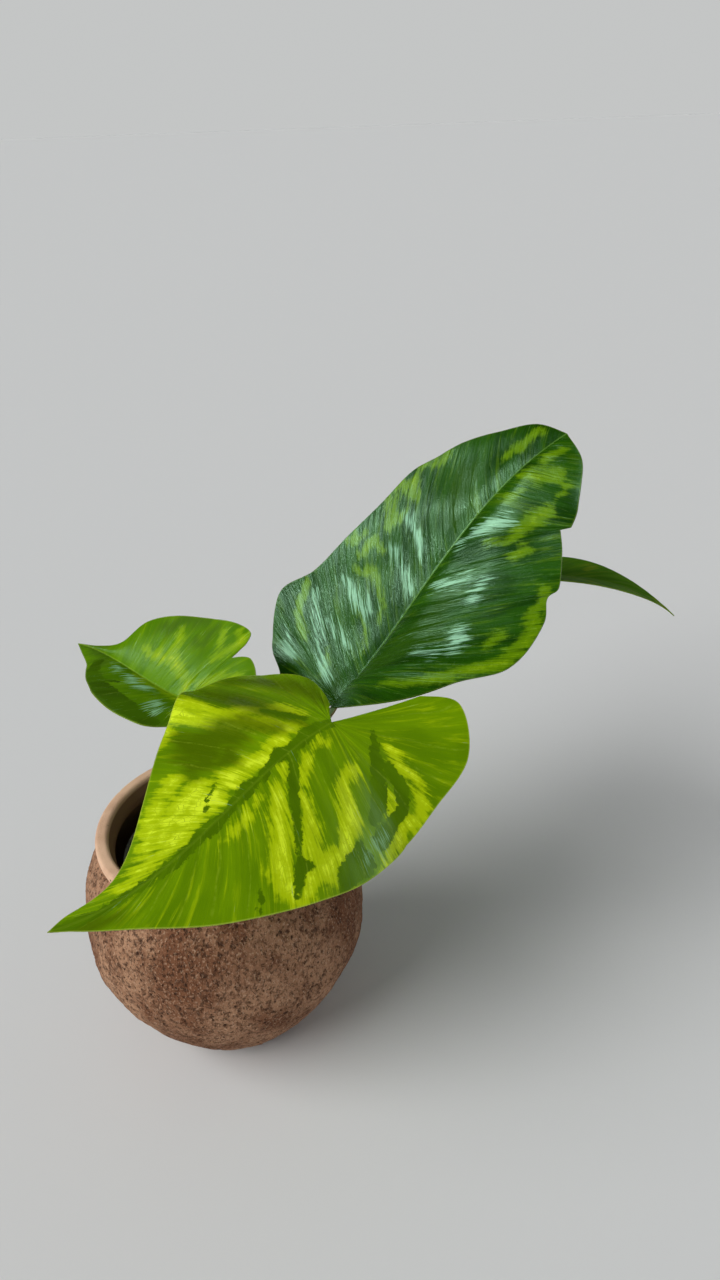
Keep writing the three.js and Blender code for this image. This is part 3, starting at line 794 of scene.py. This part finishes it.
def leaf_colour(g, noise, marks, net, look):
    """The upper side's colour with its markings, without the veins."""
    broad, streaks, hairs = noise["broad"], noise["streaks"], noise["hairs"]
    colour = g.mix(g.step(g.add(broad, g.centred(hairs, 0.3)), 0.36, 0.66), look["green"], look["deep"])
    pale_streak = g.times(g.step(g.add(streaks, g.centred(hairs, 0.3)), 0.5, 0.74), 0.5)
    dark_green = g.mix(g.times(g.step(broad, 0.4, 0.65), 0.5), look["dark"], look["deep"])
    layers = (
        (pale_streak, look["lime"]),
        (g.times(marks["lime"], 0.9), look["lime"]),
        (marks["bright"], look["bright"]),
        (g.times(g.fade(streaks, 0.3, 0.46), 0.45), look["deep"]),
        # Olive: the leaves' own olive zones, and on the front leaf also painted shade behind the crest.
        (g.times(marks["shade"], 0.85), look["olive"]),
        (g.times(net, 0.5), look["deep"]),
        (marks["dark"], dark_green),
        # Painted highlight: a pale green-white laid over the colour.
        (g.times(marks["painted_highlight"], 0.9), look["painted_highlight"]),
    )
    for share, tone in layers:
        colour = g.mix(share, colour, tone)
    return colour


def leaf_material(key):
    g = Graph(f"leaf_{key}_skin")
    look = of_leaf(LEAF_LOOK, key)
    flat, vein = g.uv("flat"), g.uv("vein")
    margin, under, middle = g.attribute("edge")[:3]
    shift = tuple(look["seed"] * k for k in (1, 1.7, 0.3))
    noise = {}
    for kind, (scale, *texture) in VEIN_NOISE.items():
        noise[kind] = g.noise(g.stretched(vein, (*scale, 1), shift), 1.0, *texture)
    streaks, hairs = noise["streaks"], noise["hairs"]
    jagged = g.noise(g.stretched(flat, EVEN, shift), 4.2, 4, 0.62, 0.3)
    marks = leaf_markings(g, noise, jagged, look["streak"])
    net = g.cells(g.stretched(vein, (*NET, 1), shift), 4.3, "DISTANCE_TO_EDGE")
    net = g.times(g.fade(net, 0.01, 0.05), g.times(marks["bright"], g.step(margin, 0.9, 0.6)))
    colour = leaf_colour(g, noise, marks, net, look)

    wave = g.add(g.parts(vein)[0], g.centred(noise["wave"], 0.8))
    saw = g.math("PINGPONG", g.times(wave, 1 / look["vein_pitch"]), 0.5)
    vein_line = g.times(g.fade(saw, 0.01, 0.05), g.step(margin, 0.0, 0.17))
    vein_share = g.times(vein_line, g.times(g.step(jagged, 0.35, 0.65), 0.22))
    colour = g.mix(vein_share, colour, look["vein"])
    colour = g.mix(g.times(g.fade(middle, 0.03, 0.07), look["rib_strength"]), colour, look["vein"])
    colour = g.mix(g.times(g.fade(margin, 0.007, 0.02), 0.5), colour, look["rim"])
    below = g.mix(g.times(marks["lime"], 0.5), look["under"], look["lime"])
    below = g.mix(g.fade(middle, 0.1, 0.16), below, look["vein"])
    back = g.step(under, 0.55, 0.95)
    colour = g.mix(back, colour, below)

    rough = g.add(g.times(hairs, 0.2), g.add(g.times(jagged, 0.14), look["rough"] - 0.17))
    rough = g.add(rough, g.times(back, 0.25))
    wrinkles = g.add(streaks, g.add(g.times(hairs, 0.10), g.times(vein_line, -0.12)))
    normal = g.bump(wrinkles, look["wrinkle"], 0.0009)
    grain = g.noise(g.stretched(flat, EVEN, shift), 16, 3, 0.6)
    normal = g.bump(grain, look["grain"], 0.0002, normal)
    return g.finish(colour, rough, normal, Specular_IOR_Level=look["level"], Specular_Tint=SHEEN_TINT)


# Colours are sRGB. The columns are the front, upper, left and right leaf.
LEAF_LOOK = {
    "green": ((112, 150, 2), (36, 80, 1), (98, 142, 4), (84, 134, 14)),
    "deep": ((96, 134, 1), (20, 56, 0), (78, 122, 2), (70, 116, 10)),
    "lime": ((184, 208, 10), (98, 136, 1), (132, 168, 10), (120, 146, 24)),
    "bright": ((222, 244, 44), (134, 168, 8), (172, 196, 24), (150, 168, 40)),
    "dark": ((78, 112, 1), (22, 54, 2), (58, 88, 2), (32, 68, 6)),
    # olive is also the colour of the painted shade behind the front leaf's crest.
    "olive": ((76, 100, 0), (40, 76, 2), (70, 104, 20), (60, 84, 20)),
    "under": ((120, 150, 62), (104, 136, 70), (112, 144, 66), (92, 128, 40)),
    "vein": ((164, 190, 50), (104, 146, 60), (146, 176, 50), (120, 146, 70)),
    "rim": ((176, 190, 70), (96, 120, 40), (140, 156, 60), (134, 150, 60)),
    # The colour of the painted highlight.
    "painted_highlight": ((136, 180, 128), (148, 198, 162), (156, 208, 160), (110, 146, 90)),
    "vein_pitch": (1.05, 0.85, 0.75, 0.9),  # cm
    "rib_strength": (0.08, 0.45, 0.35, 0.4),
    "seed": (3.1, 8.4, 5.2, 6.7),
    "streak": (1.1, 0.7, 0.9, 0.8),  # how far the streaks carry a marking
    "rough": (0.28, 0.26, 0.24, 0.6),
    "level": (0.06, 0.2, 0.04, 0.01),  # of the sheen
    "wrinkle": (0.15, 0.6, 0.35, 0.3),
    "grain": (0.2, 0.6, 0.4, 0.2),
    "slot": ("leaf_lime", "leaf_dark", "leaf_mid", "leaf_dark"),
}


def make_leaves():
    for key in LEAVES:
        leaf_blade(key)


# Pot. A profile is a list of (radius, height).
POT_SIDES = 400
POT_FOOT = [(0.5, 0), (29.6, 0), (30.6, 0.5), (31, 1.3), (31, 3.4)]
POT_BELLY = [
    (31, 3.4), (34.5, 4), (43.5, 14), (55, 32), (63, 50), (65, 62), (64.3, 80), (61, 95), (56, 105),
    (50, 111.5), (51.5, 112.2), (53.4, 112.8),
]
POT_RIM = [
    (53.4, 112.8), (54, 114), (54, 116.4), (53.2, 117.7), (51.5, 118), (49.4, 118), (48.4, 117.4),
    (48, 115.5),
]
POT_CAVITY = [
    (48, 115.5), (46.2, 109.5), (51.5, 103), (56.3, 93), (59.4, 78), (60, 62), (56.5, 45), (48.5, 28),
    (38.5, 13.5), (33, 7), (0.5, 7),
]
FOOT, BELLY, RIM, CAVITY = range(4)
POT_PARTS = ((POT_FOOT, 2.5), (POT_BELLY, 1.0), (POT_RIM, 0.8), (POT_CAVITY, 4.0))  # with mm between rows
BODY_FOOT, BODY_TOP = (3, 5), (111.5, 4)  # the height where the coarse body ends, and its soft edge
POT_LUMPS = ((0.30, 9.0), (0.22, 3.6))  # depth and size
RAISED_MOST = 0.45
LEVEL_FOOT = 0.2  # below this height nothing is lowered or raised
POT_TONES = {
    "body": (122, 80, 56), "body_light": (172, 130, 100), "grain": (92, 58, 40), "crumb": (192, 158, 130),
    "pepper": (52, 34, 24), "hollow_shade": (62, 40, 30), "rim": (226, 186, 154), "rim_dark": (206, 164, 134),
    "pinhole": (70, 46, 34), "foot": (126, 84, 64), "inside": (136, 102, 74),
}


def pot_profile():
    """The profile from under the foot to the cavity's floor, and the part that each row belongs to."""
    parts = [resampled(*part)[:-1] for part in POT_PARTS[:-1]] + [resampled(*POT_PARTS[-1])]
    return np.vstack(parts), np.repeat(range(len(parts)), [len(p) for p in parts])


def raised_points(points, profile, raised):
    """Points of a turned form, each moved out of its surface by its raised value."""
    along_profile = np.gradient(profile, axis=0)
    out = np.stack([along_profile[:, 1], -along_profile[:, 0]], -1)
    out /= np.maximum(np.linalg.norm(out, axis=1), TINY)[:, None]
    ring = points[..., :2] / np.maximum(np.linalg.norm(points[..., :2], axis=-1), TINY)[..., None]
    moved = points.copy()
    moved[..., :2] += ring * (raised * out[:, :1])[..., None]
    moved[..., 2] += np.where(points[..., 2] > LEVEL_FOOT, raised * out[:, 1:], 0)
    return moved


def make_pot():
    profile, part = pot_profile()
    points = turned_points(profile, POT_SIDES)
    part = np.repeat(part[:, None], POT_SIDES, axis=1)
    height = points[..., 2]
    low, high = (height - BODY_FOOT[0]) / BODY_FOOT[1], (BODY_TOP[0] - height) / BODY_TOP[1]
    body = (part == BELLY) * np.clip(low, 0, 1) * np.clip(high, 0, 1)
    streaky = points * np.array([1, 1, 0.8])
    lumps = clouds(streaky, POT_LUMPS, 1) + 0.16 * cloud(points, 1.7, 3)
    hollows = 0.75 * pits(streaky, 3.4, 11, 0.45) + 0.4 * pits(points, 2.2, 31, 0.5)
    chips = 0.3 * pits(points, 7.0, 51, 0.25) * np.isin(part, (FOOT, RIM))
    wobble = 0.12 * cloud(points, 22.0, 7) * (part != FOOT)
    raised = np.minimum(body * (lumps - hollows) + wobble - chips, RAISED_MOST)
    points = raised_points(points, profile, raised)
    mesh = new_mesh("pot_body", points, turned_faces(len(profile), POT_SIDES))
    # How deep each point lies in a hollow, for the painted shade there.
    depth = np.clip(hollows * body, 0, 1)
    store(mesh, "zone", "POINT", [body, part == CAVITY, depth, np.ones_like(body)])
    new_piece(mesh, pot_material(), "pot")


def pot_material():
    g = Graph("speckled_stoneware")
    tones = POT_TONES
    coarse, inside, hollow_shade = g.attribute("zone")[:3]
    place = g.place()
    tall = g.stretched(place, (1, 1, 0.7))
    broad = g.noise(tall, 38, 3, 0.6)
    grain = g.noise(tall, 420, 4, 0.65)
    crumbs = g.noise(tall, 1100, 3, 0.6)
    body = g.mix(g.step(broad, 0.36, 0.66), tones["body"], tones["body_light"])
    body = g.mix(g.times(g.step(grain, 0.45, 0.66), 0.7), body, tones["grain"])
    body = g.mix(g.times(g.step(crumbs, 0.52, 0.68), 0.6), body, tones["crumb"])
    dots = g.times(g.fade(g.cells(tall, 520), 0.14, 0.34), g.step(grain, 0.46, 0.58))
    flecks = g.noise(g.stretched(place, (1, 1, 0.8)), 640, 3, 0.7, 0.5)
    pepper = g.math("MAXIMUM", dots, g.times(g.step(flecks, 0.54, 0.64), 0.75))
    body = g.mix(g.times(pepper, 0.85), body, tones["pepper"])
    # Painted shade: darker the deeper the hollow.
    body = g.mix(g.step(hollow_shade, 0.25, 0.8), body, tones["hollow_shade"])

    smooth = g.mix(g.step(g.noise(place, 60, 3), 0.35, 0.7), tones["rim"], tones["rim_dark"])
    pinholes = g.fade(g.cells(place, 190), 0.07, 0.13)
    pinholes = g.times(pinholes, g.step(g.noise(place, 90, 2), 0.54, 0.6))
    smooth = g.mix(pinholes, smooth, tones["pinhole"])
    smooth = g.mix(g.fade(g.parts(place)[2], 0.004, 0.009), smooth, tones["foot"])
    smooth = g.mix(inside, smooth, tones["inside"])
    share = g.step(g.add(coarse, g.centred(grain, 0.7)), 0.35, 0.65)
    colour = g.mix(share, smooth, body)
    rough = g.add(g.times(share, 0.25), g.add(0.58, g.times(crumbs, 0.12)))
    height = g.add(g.times(grain, 0.7), g.add(g.times(crumbs, 0.35), g.times(pepper, -0.6)))
    height = g.times(height, g.add(0.12, share))
    return g.finish(colour, rough, g.bump(height, 0.8, 0.0011), Specular_IOR_Level=0.12)


# Nursery pot
NURSERY_SIDES = 160
NURSERY_PROFILE = [
    (0.5, 7.3), (28, 7.3), (29.3, 8.2), (35, 50), (40.4, 91.5), (40.9, 92.1), (43.4, 92.7), (43.9, 93.6),
    (44.3, 100.4), (43.9, 100.9), (43.4, 100.6), (42.7, 94.9), (42.2, 94.2), (39.5, 93.6), (39.1, 92.8),
    (33.7, 50), (28.4, 10), (27.4, 8.6), (0.5, 8.6),
]
PLASTIC, WORN_PLASTIC, SCUFF = (112, 112, 112), (138, 136, 132), (168, 166, 162)


def plastic_material():
    g = Graph("grey_plastic")
    place = g.place()
    scuffs = g.noise(g.stretched(place, (1, 1, 6)), 240, 4, 0.7)
    colour = g.mix(g.step(g.noise(place, 70, 3), 0.4, 0.7), PLASTIC, WORN_PLASTIC)
    colour = g.mix(g.times(g.step(scuffs, 0.58, 0.7), 0.4), colour, SCUFF)
    rough = g.add(0.34, g.times(scuffs, 0.3))
    return g.finish(colour, rough, g.bump(scuffs, 0.25, 0.0003))


def make_nursery_pot():
    profile = resampled(NURSERY_PROFILE, 2.0)
    faces = turned_faces(len(profile), NURSERY_SIDES)
    mesh = new_mesh("nursery_shell", turned_points(profile, NURSERY_SIDES), faces)
    new_piece(mesh, plastic_material(), "nursery_pot")


# Soil
SOIL_SIDES = 150
SOIL_RINGS = 60
SOIL_LEVEL = 90
SOIL_CRUMBS = ((1.0, 4.5), (0.7, 2.1))  # height and size
HOLE = (3.9, 47.7)  # radius and floor of the stem's hole
SOIL_TOP_RADII = (3.95, 36.6)
SOIL_SIDE = [(37.9, 87), (28.6, 12), (26.4, 9.4), (0.3, 9.4)]
DEEP_SOIL, DRY_SOIL, FIBRE, PERLITE = (20, 14, 10), (54, 40, 28), (92, 68, 46), (176, 170, 158)


def soil_height(x, y):
    """The CAD's gentle mound and clods."""
    mound = 3.2 * np.exp(-(x * x + y * y) / 500)
    clods = np.sin(0.41 * x + 1.1) * np.sin(0.37 * y + 0.4) + 0.6 * np.sin(0.83 * x - 0.71 * y)
    return mound + 0.9 * clods


def soil_material():
    g = Graph("potting_soil")
    place = g.place()
    clumps = g.noise(place, 260, 5, 0.7)
    fibre = g.noise(g.stretched(place, (1, 0.25, 1)), 700, 3, 0.6)
    colour = g.mix(g.step(clumps, 0.35, 0.68), DEEP_SOIL, DRY_SOIL)
    colour = g.mix(g.times(g.step(fibre, 0.6, 0.7), 0.5), colour, FIBRE)
    perlite = g.times(g.fade(g.cells(place, 210), 0.12, 0.2), g.step(g.noise(place, 130, 1), 0.6, 0.64))
    colour = g.mix(perlite, colour, PERLITE)
    return g.finish(colour, 0.95, g.bump(clumps, 0.9, 0.0016))


def make_soil():
    top = [(r, SOIL_LEVEL) for r in np.linspace(*SOIL_TOP_RADII, SOIL_RINGS)]
    profile = np.array([(0.3, HOLE[1]), HOLE, *top, *SOIL_SIDE])
    points = turned_points(profile, SOIL_SIDES)
    x, y, z = np.moveaxis(points, -1, 0)
    crumbs = clouds(points, SOIL_CRUMBS, 61) - 1.1 * pits(points, 3.2, 63, 0.7)
    points[..., 2] += np.where(z == SOIL_LEVEL, soil_height(x, y) + crumbs, 0)
    # The profile runs from the hole outwards, against the pot's, so the faces turn round.
    faces = [face[::-1] for face in turned_faces(len(profile), SOIL_SIDES)]
    new_piece(new_mesh("soil_top", points, faces), soil_material(), "soil")


# Stem and petioles
STEM_TONES = (110, 132, 48), (92, 92, 44)  # fresh and aged
PETIOLE_TONES = (122, 146, 50), (126, 112, 60)
GROOVE_TONE = (66, 92, 22)
WELD = 1e-5  # metres
FLAT_ANGLE, SHAPE_ANGLE = 0.9, 2.0  # radians between triangles that join to one quad
ROUNDING = 2  # levels of subdivision


def stalk_material(name, fresh, aged):
    g = Graph(name)
    place = g.place()
    grooves = g.noise(g.stretched(place, (1, 1, 0.12)), 620, 3, 0.55)
    colour = g.mix(g.step(g.noise(place, 95, 3), 0.4, 0.66), fresh, aged)
    colour = g.mix(g.times(g.step(grooves, 0.5, 0.7), 0.4), colour, GROOVE_TONE)
    rough = g.add(0.32, g.times(grooves, 0.25))
    normal = g.bump(grooves, 0.5, 0.0004)
    return g.finish(colour, rough, normal, Subsurface_Weight=0.05, Subsurface_Scale=0.002)


def smoothed(node, material):
    """A finer piece for a rod: the node's own form, rounded by subdivision."""
    form = bmesh.new()
    form.from_mesh(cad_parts[node].data)
    bmesh.ops.remove_doubles(form, verts=form.verts, dist=WELD)
    bmesh.ops.join_triangles(form, faces=form.faces, angle_face_threshold=FLAT_ANGLE,
                             angle_shape_threshold=SHAPE_ANGLE)
    mesh = bpy.data.meshes.new(f"{node}_round")
    form.to_mesh(mesh)
    form.free()
    if "custom_normal" in mesh.attributes:
        mesh.attributes.remove(mesh.attributes["custom_normal"])
    mesh.materials.clear()
    piece = new_piece(mesh, material, node)
    modifier = piece.modifiers.new("round", "SUBSURF")
    modifier.levels = modifier.render_levels = ROUNDING


def make_stalks():
    smoothed("stem", stalk_material("stem_skin", *STEM_TONES))
    skin = stalk_material("petiole_skin", *PETIOLE_TONES)
    for key in LEAVES:
        smoothed(f"petiole_{key}", skin)


# Floor and light
FLOOR_REACH = 40000
FLOOR_TONE = (224, 223, 221)
HORIZON = [0.551, 0.561, 0.558, 1]  # linear, as bright as the lit floor, so that they meet without a line
ZENITH = [0.19, 0.20, 0.21, 1]
SKY_LEVELS = (0.10, 0.55)
ROOM_GLOSS = 0.1  # how strongly the room mirrors in the leaves, so that they keep their deep greens
DAYLIGHT, LAMPLIGHT = (0.97, 0.99, 1.0), (1.0, 0.99, 0.96)


def make_floor():
    corners = [(x * FLOOR_REACH, y * FLOOR_REACH, 0) for x, y in ((-1, -1), (1, -1), (1, 1), (-1, 1))]
    mesh = new_mesh("floor", corners, [(0, 1, 2, 3)])
    mesh.materials.append(Graph("pale_floor").finish(FLOOR_TONE, 1.0, Specular_IOR_Level=0.0))
    floor = linked("floor", mesh)


def sun(name, azimuth, elevation, spread, strength, colour):
    """A distant light. Azimuth 0 is behind the plant, 90 is to its right; spread is in degrees."""
    a, e = math.radians(azimuth), math.radians(elevation)
    back = Vector((math.sin(a) * math.cos(e), math.cos(a) * math.cos(e), math.sin(e)))
    data = bpy.data.lights.new(name, "SUN")
    data.energy = strength
    data.angle = math.radians(spread)
    data.color = colour
    light = linked(name, data)
    light.rotation_mode = "QUATERNION"
    light.rotation_quaternion = back.to_track_quat("Z", "Y")
    return light


def make_room():
    """A pale sky over the floor, darker above, that the object mirrors only weakly."""
    g = Graph("studio", bpy.data.worlds)
    height = g.parts(g.place("Generated"))[2]
    mirrored = g.node("LightPath", {}).outputs["Is Glossy Ray"]
    background = g.nodes["Background"].inputs
    g.put(g.mix(g.step(height, *SKY_LEVELS), HORIZON, ZENITH), background["Color"])
    g.put(g.math("MULTIPLY_ADD", mirrored, ROOM_GLOSS - 1, 1), background["Strength"])
    bpy.context.scene.world = g.owner
    bpy.context.scene.view_settings.view_transform = "Standard"


def make_lights():
    """A broad light that isn't mirrored, and two narrow ones that are only mirrored."""
    wash = sun("wash", -116, 40, 48, 2.55, DAYLIGHT)
    wash.visible_glossy = False
    window = sun("window", -96, 43, 12, 3.6, DAYLIGHT)
    lamp = sun("lamp", 99, 37, 10, 1.2, LAMPLIGHT)
    window.visible_diffuse = lamp.visible_diffuse = False


make_camera()
make_pot()
make_nursery_pot()
make_soil()
make_stalks()
make_leaves()
make_floor()
make_room()
make_lights()
